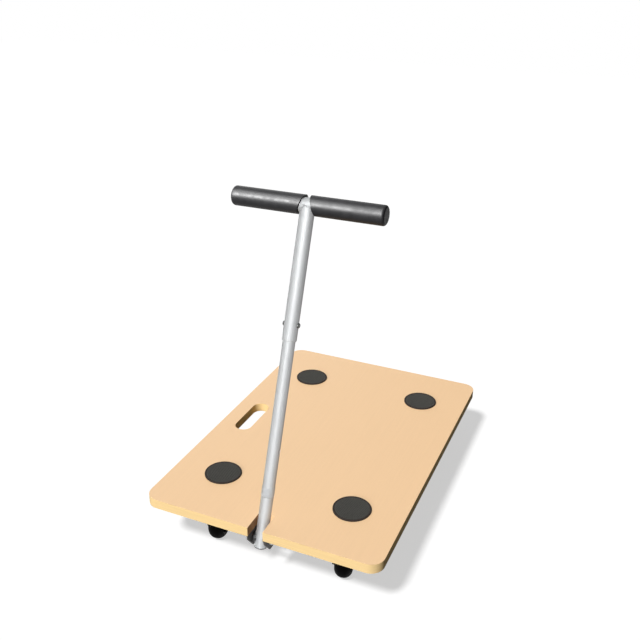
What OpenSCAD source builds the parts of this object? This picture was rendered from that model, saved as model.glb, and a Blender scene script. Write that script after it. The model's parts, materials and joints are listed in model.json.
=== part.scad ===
// Platform dolly: a board on four swivel casters, with a telescopic T-handle hinged in a notch.
// Millimetres. The floor is z = 0, the handle's notch is in the -Y edge and X runs across.

/* [Board] */
// Width across the board
deck_w = 390; // [320:5:480]
// Length from the notched edge to the far edge
deck_l = 565; // [480:5:680]
// Thickness of the board
deck_t = 16; // [13:1:22]
// Radius of the four corners, seen from above
deck_corner_r = 22; // [10:1:40]
// Width of the notch that the pole stands in
notch_w = 25; // [23:0.5:32]
// Radius of the notch's inner corners
notch_corner_r = 4; // [1:0.5:8]

/* [Hand slot] */
// Overall length of the carrying slot
slot_l = 96; // [80:1:140]
// Width of the carrying slot
slot_w = 30; // [24:1:40]
// Distance from the board's long edge to the slot's centre line
slot_inset = 43; // [34:1:60]
// How far the slot's centre lies towards the notched edge
slot_shift = 2; // [-40:1:40]

/* [Grip pads] */
// Diameter of a grip pad
pad_d = 60; // [40:1:80]
// Thickness of a grip pad
pad_t = 2.5; // [1.5:0.1:5]
// Bevel round the top of a grip pad
pad_bevel = 0.7; // [0.2:0.1:1.2]
// Pad centre's distance from the middle, across the board
pad_x = 112.5; // [80:0.5:125]
// Pad centre's distance from the middle, along the board
pad_y = 178; // [130:1:200]

/* [Caster] */
// Caster's distance from the middle, across the board
caster_x = 110; // [100:1:120]
// Caster's distance from the middle, along the board
caster_y = 183.5; // [140:0.5:190]
// Heading of the trailing wheels at rest, in degrees from the notched edge
caster_heading = 11; // [-180:0.5:180]
// Horizontal distance from the swivel axis to the wheel's axle
caster_trail = 25; // [20:0.5:30]
// Height from the top of the wheel to the top of the mounting plate
fork_head_h = 30; // [26:0.5:38]
// Side of the square mounting plate
plate_w = 64; // [60:1:72]
// Thickness of the mounting plate
plate_t = 2.5; // [2:0.1:3]
// Corner radius of the mounting plate
plate_corner_r = 7; // [3:0.5:10]
// Distance between neighbouring screw holes in the mounting plate
plate_pitch = 48; // [47:0.5:52]
// Outer radius of the dish pressed into the mounting plate
dish_r = 21; // [18:0.5:22]
// Depth of the pressed dish
dish_depth = 3.5; // [3:0.1:4]
// Radius of a swivel ball
ball_r = 2.5; // [2:0.1:2.6]
// Number of swivel balls
ball_count = 16; // [8:1:18]
// Sheet thickness of the fork
fork_t = 2.5; // [2:0.1:3]
// Radius of the fork's rounded ends round the axle
fork_end_r = 10; // [8:0.5:12]
// Radius of the kingpin's shank
kingpin_r = 4; // [3:0.25:5]

/* [Wood screws] */
// Shank diameter of the wood screws
screw_d = 4.2; // [3.5:0.1:4.5]
// Depth that the screws reach into the board
screw_grip = 11; // [8:0.5:13]

/* [Wheel] */
// Wheel diameter over the tyre
wheel_d = 54; // [50:1:60]
// Width of the tyre
tyre_w = 28; // [27:0.5:30]
// Depth of the tyre from tread to seat
tyre_depth = 8; // [6:0.5:9]
// Radius of the tyre's shoulders
tyre_shoulder_r = 13; // [4:0.5:13.5]
// Width of the hub's boss beyond the tyre, both sides together
hub_proud = 2; // [1:0.5:4]
// Radius of the hub's boss
hub_boss_r = 8.5; // [7:0.5:10]
// Thickness of the hub's rim
hub_rim_t = 3; // [2:0.5:4]
// Thickness of the hub's web
hub_web_t = 5; // [3:0.5:8]
// Number of ribs on each side of the web
hub_ribs = 6; // [4:1:10]
// Thickness of a rib
hub_rib_t = 2.2; // [1.5:0.1:3]
// Diameter of the wheel's axle bolt
axle_d = 8; // [6:0.5:10]

/* [Hinge] */
// Pivot's distance behind the notched edge
pivot_setback = 20.7; // [18:0.1:26]
// Pivot's distance below the board
pivot_drop = 14.3; // [13:0.1:20]
// Diameter of the pivot bolt
pivot_d = 6; // [5:0.5:8]
// Lean of the pole from upright where it rests on the notch, in degrees
handle_lean = 18.8; // [8:0.1:22]
// Sheet thickness of the bracket
bracket_t = 2.5; // [2:0.1:3]
// Bracket's front edge behind the notched edge
bracket_setback = 2.5; // [1:0.5:6]
// Length of the bracket along the board
bracket_l = 78; // [70:1:100]
// Width of each bracket flange
flange_w = 25; // [20:1:32]
// Height of the cheek's front edge below the board
cheek_front_h = 9; // [6:0.5:11]
// Full depth of the cheeks below the board
cheek_h = 29; // [27:0.5:34]
// Run of the slope at the front of the cheeks
cheek_slope = 16; // [10:0.5:17]
// Inside radius of the bend between flange and cheek
bend_r = 1.5; // [0.5:0.1:2.5]
// Radius of the nylon bushes beside the pole
bush_r = 7.5; // [6:0.5:8.5]

/* [Pole] */
// Outer diameter of the lower tube where it slides in the upper one
lower_tube_d = 17; // [16:0.5:18]
// Length of the lower tube
lower_tube_l = 369; // [360:1:420]
// Wall of the lower tube
lower_tube_wall = 1.3; // [1:0.1:2]
// Wall of the sleeve that thickens the lower tube at its foot
foot_t = 1; // [0.6:0.1:1.4]
// Wall of the upper tube
upper_tube_wall = 0.8; // [0.6:0.1:1.2]
// Wall of the sleeve that thickens the upper tube's upper part
sleeve_t = 1.5; // [0.8:0.1:2]
// How far that sleeve reaches below the snap buttons
sleeve_below = 24; // [12:1:60]
// Pivot's height above the lower tube's end
pivot_up = 13; // [11:0.5:18]
// Length of the pole from its lower end to the crossbar's axis
pole_l = 514.6; // [500:0.1:620]
// Start of the upper tube above the pole's lower end
upper_start = 82; // [76:1:100]
// How far the handle extends
extension = 190; // [160:1:200]
// Height of the snap buttons above the pole's lower end
button_up = 341; // [330:1:350]
// Diameter of a snap button
button_d = 7.6; // [6:0.1:8]
// How far a snap button stands out of the upper tube
button_proud = 2.3; // [1.5:0.1:3]
// Length of the guide ring at the upper tube's lower end
ring_l = 15; // [10:0.5:20]
// Length of the ring's lip, which runs on the lower tube
ring_lip = 2; // [1.5:0.5:4]
// Wall of the guide ring outside the upper tube
ring_wall = 0.5; // [0.3:0.1:2]

/* [T-grip] */
// Width over the two grips
tbar_l = 238; // [200:1:300]
// Outer diameter of a grip
grip_d = 29.5; // [27:0.5:34]
// Rounding of a grip's closed end
grip_end_r = 4; // [2:0.5:9]
// Gap between the two grips above the crossbar
grip_gap = 9; // [5:0.5:12]
// Gap between the two grips where the pole leaves them
grip_gap_low = 27; // [26.5:0.5:30]
// Radius of the weld bead
bead_r = 0.8; // [0.5:0.1:1]

/* [Hidden] */
$fn = 96;

// The four corners: front is the notched edge
fl = [-1, -1];
fr = [1, -1];
rl = [-1, 1];
rr = [1, 1];

// Clearances
running_gap = 0.05;
seat_gap = 0.02;
side_gap = 0.5;
swivel_gap = 0.3;
stop_gap = 0.1;
slide_gap = 0.2;
button_gap = 0.15;
cheek_gap = 0.3;
weld_gap = 0.15;

// Heights
wheel_r = wheel_d / 2;
caster_h = wheel_d + fork_head_h;
deck_under = caster_h;
deck_top = deck_under + deck_t;
front_y = -deck_l / 2;

// Pole: s runs up the pole from the lower tube's end
pivot_y = front_y + pivot_setback;
pivot_z = deck_under - pivot_drop;
lower_tube_r = lower_tube_d / 2;
foot_r = lower_tube_r + foot_t;
upper_bore_r = lower_tube_r + slide_gap;
stem_r = upper_bore_r + upper_tube_wall;
upper_tube_r = stem_r + sleeve_t;
upper_tube_d = 2 * upper_tube_r;
second_hole = button_up - extension;

// The notch ends where the leaning pole comes to rest on its upper edge
notch_back = pivot_y + (deck_top - pivot_z) * tan(handle_lean)
    + foot_r / cos(handle_lean) + stop_gap;

// Swivel race: balls run between the plate's dish and the fork's groove
ball_z = -plate_t - ball_r - seat_gap;
race_r = dish_r + plate_t + ball_z + sqrt(2) * (ball_r + seat_gap);
groove_z = ball_z - ball_r - seat_gap;
groove_half = 0.6 * ball_r;
crown_z = -plate_t - dish_depth - swivel_gap;
crown_under = crown_z - fork_t;
lip_r = race_r + ball_r + 0.7;
crown_r = lip_r + fork_t;
washer_t = 1.5;
rivet_h = 2;

// Wheel and fork
seat_r = wheel_r - tyre_depth;
hub_w = tyre_w + hub_proud;
fork_in = hub_w / 2 + side_gap;
fork_out = fork_in + fork_t;
axle_r = axle_d / 2;

// Hex sizes follow the bolt's diameter
function hex_af(d) = d < 7 ? 1.65 * d : 1.63 * d;
function head_h(d) = 0.66 * d;
function nut_h(d) = 0.95 * d;

// Point where a line from p touches the circle round c, on the side given by turn
function touch(p, c, r, turn) =
    let (v = c - p, l = norm(v), a = atan2(v[1], v[0]), b = asin(r / l), t = sqrt(l * l - r * r))
    p + t * [cos(a + turn * b), sin(a + turn * b)];

// Small shapes that several pieces share
module rounded_plate(w, l, r) {
    square([w - 2 * r, l], center = true);
    square([w, l - 2 * r], center = true);
    for (x = [-1, 1], y = [-1, 1])
        translate([x * (w / 2 - r), y * (l / 2 - r)])
            circle(r);
}

module stadium(l, w) {
    square([w, l - w], center = true);
    for (y = [-1, 1])
        translate([0, y * (l - w) / 2])
            circle(w / 2);
}

module hex(af, h) {
    cylinder(d = af / cos(30), h = h, $fn = 6);
}

// A hexagon with its corners turned down on one side
module hex_turned(af, h) {
    intersection() {
        hex(af, h);
        union() {
            cylinder(r = af, h = 0.72 * h);
            translate([0, 0, 0.72 * h])
                cylinder(r1 = af * 0.577, r2 = af * 0.5, h = 0.28 * h);
            cylinder(r = af * 0.577, h = 0.72 * h);
        }
    }
}

// Bolt along +X with its head seated at x = 0 and its end chamfered
module bolt_x(d, l) {
    rotate([0, 90, 0]) {
        cylinder(d = d, h = l - 1);
        translate([0, 0, l - 1])
            cylinder(d1 = d, d2 = d - 1.6, h = 1);
    }
    rotate([0, -90, 0])
        hex_turned(hex_af(d), head_h(d));
}

// Lock nut along +X: hexagon with a round collar over its insert
module lock_nut_x(d) {
    rotate([0, 90, 0])
        difference() {
            union() {
                hex(hex_af(d), 0.72 * nut_h(d));
                cylinder(d = hex_af(d) * 0.94, h = nut_h(d));
            }
            translate([0, 0, -1])
                cylinder(d = d + 2 * seat_gap, h = nut_h(d) + 2);
        }
}

// Pan-head wood screw pointing up, with its head's seat at z = 0
module wood_screw(d, l) {
    translate([0, 0, -0.55 * d])
        cylinder(r1 = 0.7 * d, r2 = d, h = 0.25 * d);
    translate([0, 0, -0.3 * d])
        cylinder(r = d, h = 0.3 * d);
    cylinder(d = d, h = l - d);
    translate([0, 0, l - d])
        cylinder(d1 = d, d2 = 0.3, h = d);
}

// Board
module deck_board() {
    color([0.93, 0.79, 0.63])
        translate([0, 0, deck_under])
            linear_extrude(deck_t)
                difference() {
                    rounded_plate(deck_w, deck_l, deck_corner_r);
                    translate([-notch_w / 2, front_y - 1])
                        square([notch_w, notch_back - notch_corner_r - front_y + 1]);
                    translate([-notch_w / 2 + notch_corner_r, front_y])
                        square([notch_w - 2 * notch_corner_r, notch_back - front_y]);
                    for (x = [-1, 1])
                        translate([x * (notch_w / 2 - notch_corner_r), notch_back - notch_corner_r])
                            circle(notch_corner_r);
                    translate([slot_inset - deck_w / 2, -slot_shift])
                        stadium(slot_l, slot_w);
                }
}

module pad(at) {
    color([0.28, 0.26, 0.24])
        translate([at[0] * pad_x, at[1] * pad_y, deck_top])
            rotate_extrude()
                polygon([[0, 0], [pad_d / 2, 0], [pad_d / 2, pad_t - pad_bevel],
                    [pad_d / 2 - pad_bevel, pad_t], [0, pad_t]]);
}

// Hinge bracket: a pressed channel whose section runs along the board, trimmed to its side view
cheek_in = notch_w / 2 + cheek_gap;
cheek_out = cheek_in + bracket_t;
flange_out = cheek_out + flange_w;
bracket_front = front_y + bracket_setback;
bracket_back = bracket_front + bracket_l;
web_y = notch_back + cheek_gap;
bracket_holes = [bracket_front + 12, bracket_front + bracket_l / 2, bracket_back - 10];
bracket_screw_x = cheek_out + flange_w / 2 + 1;

module channel_half() {
    bend_out = bend_r + bracket_t;
    difference() {
        translate([cheek_in, -cheek_h])
            square([flange_out - cheek_in, cheek_h]);
        translate([cheek_out + bend_r, -cheek_h - 1])
            square([flange_w, cheek_h + 1 - bracket_t]);
        translate([cheek_out, -cheek_h - 1])
            square([bend_r + 1, cheek_h + 1 - bend_out]);
        translate([cheek_out + bend_r, -bend_out])
            circle(bend_r);
    }
}

module cheek_side() {
    polygon([[bracket_front, 1], [bracket_front, -cheek_front_h],
        [bracket_front + cheek_slope, -cheek_h],
        [web_y + bracket_t, -cheek_h],
        [bracket_back - 12, -bracket_t - 4],
        [bracket_back, -bracket_t],
        [bracket_back, 1]]);
}

module hinge_bracket() {
    color([0.2, 0.2, 0.2])
        translate([0, 0, deck_under])
            difference() {
                union() {
                    intersection() {
                        translate([0, bracket_back + 1, 0])
                            rotate([90, 0, 0])
                                linear_extrude(bracket_l + 2)
                                    for (m = [0, 1])
                                        mirror([m, 0])
                                            channel_half();
                        translate([-flange_out - 1, 0, 0])
                            rotate([90, 0, 90])
                                linear_extrude(2 * flange_out + 2)
                                    cheek_side();
                        translate([0, (bracket_front + bracket_back) / 2, -cheek_h - 1])
                            linear_extrude(cheek_h + 2)
                                rounded_plate(2 * flange_out, bracket_l, 6);
                    }
                    translate([-cheek_in - 0.5, web_y, -cheek_h + 4])
                        cube([2 * cheek_in + 1, bracket_t, cheek_h - 4]);
                    translate([-cheek_in - 0.5, web_y, -bracket_t])
                        cube([2 * cheek_in + 1, bracket_back - web_y, bracket_t]);
                }
                translate([-cheek_out - 1, pivot_y, -pivot_drop])
                    rotate([0, 90, 0])
                        cylinder(d = pivot_d + 2 * running_gap, h = 2 * cheek_out + 2);
                for (x = [-1, 1], y = bracket_holes)
                    translate([x * bracket_screw_x, y, -bracket_t - 1])
                        cylinder(d = screw_d + 0.8, h = bracket_t + 2);
            }
}

module bracket_screws() {
    color([0.3, 0.3, 0.3])
        for (x = [-1, 1], y = bracket_holes)
            translate([x * bracket_screw_x, y, deck_under - bracket_t])
                wood_screw(screw_d, screw_grip + bracket_t);
}

pivot_bolt_l = 2 * cheek_out + nut_h(pivot_d) + 2;

module pivot_bolt() {
    color([0.75, 0.75, 0.77])
        translate([-cheek_out, pivot_y, pivot_z])
            bolt_x(pivot_d, pivot_bolt_l);
}

module pivot_nut() {
    color([0.7, 0.7, 0.72])
        translate([cheek_out, pivot_y, pivot_z])
            lock_nut_x(pivot_d);
}

// Everything on the pole is drawn upright with s as z, then leaned over about the pivot
module on_pole() {
    translate([0, pivot_y, pivot_z])
        rotate([-handle_lean, 0, 0])
            translate([0, 0, -pivot_up])
                children();
}

module cross_hole(d, s) {
    translate([-upper_tube_d, 0, s])
        rotate([0, 90, 0])
            cylinder(d = d, h = 2 * upper_tube_d);
}

lower_bore_r = lower_tube_r - lower_tube_wall;
button_hole_d = button_d + 2 * button_gap;
// The guide ring's lower face comes to rest just above the foot's shoulder
foot_l = upper_start - ring_lip - swivel_gap;
foot_bevel = 0.5;

// Lower tube: its foot is thickened up to the guide ring
module lower_tube() {
    color([0.8, 0.81, 0.82])
        on_pole()
            difference() {
                union() {
                    cylinder(r = lower_tube_r, h = lower_tube_l);
                    cylinder(r = foot_r, h = foot_l - foot_bevel);
                    translate([0, 0, foot_l - foot_bevel])
                        cylinder(r1 = foot_r, r2 = foot_r - foot_bevel, h = foot_bevel);
                }
                translate([0, 0, -1])
                    cylinder(r = lower_bore_r, h = lower_tube_l + 2);
                cross_hole(pivot_d + 2 * running_gap, pivot_up);
                cross_hole(button_hole_d, button_up);
            }
}

// Plug in the pole's lower end, short enough to stay off the pivot bolt
plug_cap = 1.6;
plug_l = pivot_up - pivot_d / 2 - 1.5;

module tube_plug() {
    color([0.08, 0.08, 0.08])
        on_pole()
            rotate_extrude()
                polygon([[0, -plug_cap], [foot_r - 0.8, -plug_cap], [foot_r, -plug_cap + 0.8],
                    [foot_r, 0], [lower_bore_r - seat_gap, 0], [lower_bore_r - seat_gap, plug_l],
                    [lower_bore_r - 1.8, plug_l], [lower_bore_r - 1.8, 1], [0, 1]]);
}

// Bushes fill the space from the tube to the cheeks, with a saddle that fits the tube
module pivot_bushes() {
    color([0.85, 0.85, 0.83])
        on_pole()
            for (m = [0, 1])
                mirror([m, 0, 0])
                    difference() {
                        translate([0, 0, pivot_up])
                            rotate([0, 90, 0])
                                cylinder(r = bush_r, h = cheek_in - running_gap);
                        translate([0, 0, -1])
                            cylinder(r = foot_r + seat_gap, h = 2 * pivot_up + 20);
                        cross_hole(pivot_d + 2 * running_gap, pivot_up);
                    }
}

module tube_guide() {
    color([0.85, 0.85, 0.83])
        on_pole()
            translate([0, 0, lower_tube_l])
                rotate_extrude()
                    polygon([[lower_bore_r - 2, -12], [lower_bore_r - seat_gap, -12],
                        [lower_bore_r - seat_gap, 0], [upper_bore_r - 0.1, 0], [upper_bore_r - 0.1, 2],
                        [upper_bore_r - 1.1, 3.5], [lower_bore_r - 2, 3.5]]);
}

// Snap buttons on a V spring inside the lower tube
strip_t = 0.7;
strip_w = 6.5;
leg_x = lower_bore_r - 1.3;
leg_root = 2.6;
leg_l = 42;
button_root = leg_x + strip_t / 2;
button_tip = upper_tube_r + button_proud;
button_travel = button_tip - upper_bore_r + 0.1;

module button_spring() {
    lean = atan((leg_x - leg_root) / leg_l);
    color([0.6, 0.62, 0.65])
        on_pole()
            translate([0, 0, button_up - leg_l])
                rotate([90, 0, 0])
                    linear_extrude(strip_w, center = true) {
                        for (m = [0, 1])
                            mirror([m, 0])
                                translate([leg_root, 0])
                                    rotate(-lean)
                                        translate([-strip_t / 2, 0])
                                            square([strip_t, leg_l / cos(lean) + 5]);
                        difference() {
                            circle(leg_root + strip_t / 2);
                            circle(leg_root - strip_t / 2);
                            translate([-10, 0])
                                square([20, 10]);
                        }
                    }
}

module snap_button(side) {
    color([0.78, 0.78, 0.8])
        on_pole()
            translate([0, 0, button_up])
                rotate([0, side * 90, 0])
                    rotate_extrude()
                        polygon([[0, button_root + 0.35], [button_d / 2, button_root + 0.35],
                            [button_d / 2, button_tip - 1.6],
                            for (a = [0:15:90])
                                [button_d / 2 - 1.6 + 1.6 * cos(a), button_tip - 1.6 + 1.6 * sin(a)],
                            [0, button_tip]]);
}

// Upper tube: sleeved from below the buttons upwards, with its top coped to sit on the crossbar
sleeve_from = button_up - sleeve_below;
sleeve_bevel = 0.6;

module upper_tube() {
    color([0.8, 0.81, 0.82])
        on_pole()
            difference() {
                union() {
                    translate([0, 0, upper_start])
                        cylinder(r = stem_r, h = pole_l - upper_start);
                    translate([0, 0, sleeve_from])
                        cylinder(r1 = upper_tube_r - sleeve_bevel, r2 = upper_tube_r, h = sleeve_bevel);
                    translate([0, 0, sleeve_from + sleeve_bevel])
                        cylinder(r = upper_tube_r, h = pole_l - sleeve_from - sleeve_bevel);
                }
                translate([0, 0, upper_start - 1])
                    cylinder(r = upper_bore_r, h = pole_l);
                translate([-upper_tube_d, 0, pole_l])
                    rotate([0, 90, 0])
                        cylinder(r = upper_tube_r + weld_gap, h = 2 * upper_tube_d);
                cross_hole(button_hole_d, button_up);
                cross_hole(button_hole_d, second_hole);
            }
}

// Ring over the upper tube's lower end, with a lip that runs on the lower tube
module guide_ring() {
    color([0.82, 0.83, 0.84])
        on_pole()
            translate([0, 0, upper_start])
                rotate_extrude()
                    polygon([[lower_tube_r + 0.08, -ring_lip], [stem_r, -ring_lip],
                        [stem_r + ring_wall, -ring_lip + 1.2],
                        [stem_r + ring_wall, ring_l - ring_lip - 1],
                        [stem_r + seat_gap + 0.2, ring_l - ring_lip],
                        [stem_r + seat_gap, ring_l - ring_lip],
                        [stem_r + seat_gap, 0], [lower_tube_r + 0.08, 0]]);
}

// T-grip: drawn with the crossbar's axis along X at the top of the pole
grip_cap = 2.5;
bar_half = tbar_l / 2 - grip_cap - seat_gap;
bar_wall = 1.5;

module crossbar() {
    color([0.8, 0.81, 0.82])
        on_pole()
            translate([-bar_half, 0, pole_l])
                rotate([0, 90, 0])
                    difference() {
                        cylinder(r = upper_tube_r, h = 2 * bar_half);
                        translate([0, 0, -1])
                            cylinder(r = upper_tube_r - bar_wall, h = 2 * bar_half + 2);
                    }
}

// Weld bead: a tube swept along the seam of two equal cylinders, a mitred pair of half ellipses
bead_steps = 48;
bead_sides = 6;
function seam(a) = upper_tube_r * [cos(a), sin(a), -abs(cos(a))];
function unit(v) = v / norm(v);
function bead_ring(a) =
    let (t = unit(seam(a + 1) - seam(a - 1)),
        n = unit([cos(a), 2 * sin(a), -abs(cos(a))]),
        b = unit(cross(t, n)),
        m = cross(b, t))
    [for (k = [0:bead_sides - 1])
        seam(a) + bead_r * (cos(k * 360 / bead_sides) * m + sin(k * 360 / bead_sides) * b)];

module tee_weld() {
    points = [for (i = [0:bead_steps - 1]) each bead_ring(i * 360 / bead_steps)];
    faces = [for (i = [0:bead_steps - 1], k = [0:bead_sides - 1])
        let (j = (i + 1) % bead_steps, l = (k + 1) % bead_sides)
        each [[i * bead_sides + k, i * bead_sides + l, j * bead_sides + l],
            [i * bead_sides + k, j * bead_sides + l, j * bead_sides + k]]];
    color([0.7, 0.71, 0.72])
        on_pole()
            translate([0, 0, pole_l])
                polyhedron(points, faces);
}

// Grip: a sleeve closed at its outer end and cut aslant at its inner end, clear of the seam
module grip(side) {
    r = grip_d / 2;
    bore = upper_tube_r + seat_gap;
    half = tbar_l / 2;
    color([0.24, 0.24, 0.25])
        on_pole()
            translate([0, 0, pole_l])
                difference() {
                    rotate([0, side * 90, 0])
                        rotate_extrude()
                            polygon([[bore, 0], [r, 0],
                                for (a = [0:10:90])
                                    [r - grip_end_r + grip_end_r * cos(a), half - grip_end_r + grip_end_r * sin(a)],
                                [0, half], [0, half - grip_cap], [bore, half - grip_cap]]);
                    rotate([90, 0, 0])
                        linear_extrude(grip_d + 10, center = true)
                            polygon([[-grip_gap / 2, r + 5], [grip_gap / 2, r + 5],
                                [grip_gap / 2, r], [grip_gap_low / 2, -r],
                                [grip_gap_low / 2, -r - 5], [-grip_gap_low / 2, -r - 5],
                                [-grip_gap_low / 2, -r], [-grip_gap / 2, r]]);
                }
}

// Casters: drawn round the swivel axis with the wheel trailing towards -Y, then turned to the heading
module at_caster(at) {
    translate([at[0] * caster_x, at[1] * caster_y, 0])
        children();
}

module on_fork(at) {
    at_caster(at)
        rotate([0, 0, caster_heading])
            children();
}

module on_axle(at) {
    on_fork(at)
        translate([0, -caster_trail, wheel_r])
            children();
}

module caster_plate(at) {
    color([0.16, 0.16, 0.17])
        at_caster(at)
            translate([0, 0, caster_h]) {
                translate([0, 0, -plate_t])
                    linear_extrude(plate_t)
                        difference() {
                            rounded_plate(plate_w, plate_w, plate_corner_r);
                            circle(dish_r);
                            for (x = [-1, 1], y = [-1, 1])
                                translate([x, y] * plate_pitch / 2)
                                    circle(d = screw_d + 0.8);
                        }
                rotate_extrude()
                    polygon([[kingpin_r + seat_gap, -dish_depth], [dish_r - dish_depth - 1, -dish_depth],
                        [dish_r - 1, 0], [dish_r, 0], [dish_r, -plate_t],
                        [dish_r - dish_depth, -plate_t - dish_depth],
                        [kingpin_r + seat_gap, -plate_t - dish_depth]]);
            }
}

module caster_screws() {
    color([0.3, 0.3, 0.3])
        for (at = [fl, fr, rl, rr], x = [-1, 1], y = [-1, 1])
            at_caster(at)
                translate([x * plate_pitch / 2, y * plate_pitch / 2, caster_h - plate_t])
                    wood_screw(screw_d, screw_grip + plate_t);
}

// Kingpin: a rivet whose washer carries the fork from below
module caster_kingpin(at) {
    washer_top = crown_under - swivel_gap;
    washer_low = washer_top - washer_t;
    color([0.55, 0.56, 0.58])
        at_caster(at)
            translate([0, 0, caster_h])
                rotate_extrude()
                    polygon([[0, -0.6], [kingpin_r, -0.6], [kingpin_r + 3.5, -1.6],
                        [kingpin_r + 3.5, -dish_depth], [kingpin_r, -dish_depth],
                        [kingpin_r, washer_top], [2.3 * kingpin_r, washer_top],
                        [2.3 * kingpin_r, washer_low], [1.6 * kingpin_r, washer_low],
                        [1.3 * kingpin_r, washer_low - 0.7 * rivet_h],
                        [0.7 * kingpin_r, washer_low - rivet_h], [0, washer_low - rivet_h]]);
}

module caster_balls(at) {
    color([0.8, 0.8, 0.82])
        on_fork(at)
            translate([0, 0, caster_h + ball_z])
                for (i = [0:ball_count - 1])
                    rotate([0, 0, i * 360 / ball_count])
                        translate([race_r, 0, 0])
                            sphere(ball_r);
}

// Fork: a ball cup with two cheeks that taper to rounded ends round the axle
module caster_fork(at) {
    cheek_top = crown_under + 0.6;
    axle_at = [-caster_trail, wheel_r - caster_h];
    front = [-race_r + 2, cheek_top];
    rear = [race_r - 6, cheek_top];
    front_touch = touch(front, axle_at, fork_end_r, -1);
    rear_touch = touch(rear, axle_at, fork_end_r, 1);
    color([0.15, 0.15, 0.16])
        on_fork(at)
            translate([0, 0, caster_h])
                difference() {
                    union() {
                        rotate_extrude()
                            polygon([[kingpin_r + running_gap, crown_z],
                                [race_r - groove_half - 1.5, crown_z],
                                [race_r - groove_half, groove_z], [race_r + groove_half, groove_z],
                                [lip_r, ball_z + 0.5], [crown_r, ball_z + 0.5],
                                [crown_r, groove_z - 1], [crown_r - 1.5, groove_z - fork_t],
                                [race_r - groove_half - 1, groove_z - fork_t],
                                [race_r - groove_half - 3, crown_under],
                                [kingpin_r + running_gap, crown_under]]);
                        for (x = [-fork_out, fork_in])
                            translate([x, 0, 0])
                                rotate([90, 0, 90])
                                    linear_extrude(fork_t) {
                                        polygon([front, front_touch, axle_at, rear_touch, rear]);
                                        translate(axle_at)
                                            circle(fork_end_r);
                                    }
                    }
                    translate([-fork_out - 1, axle_at[0], axle_at[1]])
                        rotate([0, 90, 0])
                            cylinder(r = axle_r + seat_gap, h = 2 * fork_out + 2);
                }
}

axle_l = 2 * fork_out + nut_h(axle_d) + 1.5;

module caster_axle(at) {
    color([0.6, 0.6, 0.62])
        on_axle(at)
            translate([-fork_out, 0, 0])
                bolt_x(axle_d, axle_l);
}

module caster_nut(at) {
    color([0.6, 0.6, 0.62])
        on_axle(at)
            translate([fork_out, 0, 0])
                lock_nut_x(axle_d);
}

// Hub: a moulded core with a boss, a web, ribs and a rim whose ridge keeps the tyre on
ridge_h = 1.5;
ridge_w = 5;

module wheel_hub(at) {
    rim_in = seat_r - hub_rim_t;
    rim_half = tyre_w / 2 - 2;
    color([0.14, 0.14, 0.14])
        on_axle(at)
            rotate([0, 90, 0])
                difference() {
                    union() {
                        rotate_extrude()
                            polygon([[0, -hub_w / 2], [hub_boss_r - 0.8, -hub_w / 2],
                                [hub_boss_r, -hub_w / 2 + 0.8], [hub_boss_r, -hub_web_t / 2],
                                [rim_in, -hub_web_t / 2], [rim_in + 0.8, -rim_half], [seat_r, -rim_half],
                                [seat_r, -ridge_w / 2], [seat_r + ridge_h, -ridge_w / 2 + ridge_h / 2],
                                [seat_r + ridge_h, ridge_w / 2 - ridge_h / 2], [seat_r, ridge_w / 2],
                                [seat_r, rim_half], [rim_in + 0.8, rim_half], [rim_in, hub_web_t / 2],
                                [hub_boss_r, hub_web_t / 2], [hub_boss_r, hub_w / 2 - 0.8],
                                [hub_boss_r - 0.8, hub_w / 2], [0, hub_w / 2]]);
                        for (i = [0:hub_ribs - 1])
                            rotate([0, 0, i * 360 / hub_ribs])
                                translate([hub_boss_r - 1, -hub_rib_t / 2, -rim_half + 2])
                                    cube([rim_in - hub_boss_r + 2, hub_rib_t, 2 * rim_half - 4]);
                    }
                    translate([0, 0, -hub_w])
                        cylinder(r = axle_r + running_gap, h = 2 * hub_w);
                }
}

module tyre(at) {
    half = tyre_w / 2;
    inner = seat_r + seat_gap;
    color([0.1, 0.1, 0.1])
        on_axle(at)
            rotate([0, 90, 0])
                rotate_extrude()
                    difference() {
                        intersection() {
                            rounded_plate(2 * wheel_r, 2 * half, tyre_shoulder_r);
                            translate([inner, -half])
                                square([wheel_r, 2 * half]);
                        }
                        polygon([[inner - 1, -ridge_w / 2 - 0.3], [inner, -ridge_w / 2 - seat_gap],
                            [inner + ridge_h, -ridge_w / 2 + ridge_h / 2 - seat_gap],
                            [inner + ridge_h, ridge_w / 2 - ridge_h / 2 + seat_gap],
                            [inner, ridge_w / 2 + seat_gap], [inner - 1, ridge_w / 2 + 0.3]]);
                    }
}

deck_board();
pad(fl);  // pad_front_left
pad(fr);  // pad_front_right
pad(rl);  // pad_rear_left
pad(rr);  // pad_rear_right
hinge_bracket();
bracket_screws();
pivot_bolt();
pivot_nut();
lower_tube();
tube_plug();
pivot_bushes();
tube_guide();
button_spring();
snap_button(-1);  // snap_button_left
snap_button(1);  // snap_button_right
upper_tube();
guide_ring();
crossbar();
tee_weld();
grip(-1);  // grip_left
grip(1);  // grip_right
caster_screws();
caster_plate(fl);  // caster_plate_fl
caster_kingpin(fl);  // caster_kingpin_fl
caster_balls(fl);  // caster_balls_fl
caster_fork(fl);  // caster_fork_fl
caster_axle(fl);  // caster_axle_fl
caster_nut(fl);  // caster_nut_fl
wheel_hub(fl);  // wheel_hub_fl
tyre(fl);  // tyre_fl
caster_plate(fr);  // caster_plate_fr
caster_kingpin(fr);  // caster_kingpin_fr
caster_balls(fr);  // caster_balls_fr
caster_fork(fr);  // caster_fork_fr
caster_axle(fr);  // caster_axle_fr
caster_nut(fr);  // caster_nut_fr
wheel_hub(fr);  // wheel_hub_fr
tyre(fr);  // tyre_fr
caster_plate(rl);  // caster_plate_rl
caster_kingpin(rl);  // caster_kingpin_rl
caster_balls(rl);  // caster_balls_rl
caster_fork(rl);  // caster_fork_rl
caster_axle(rl);  // caster_axle_rl
caster_nut(rl);  // caster_nut_rl
wheel_hub(rl);  // wheel_hub_rl
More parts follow.
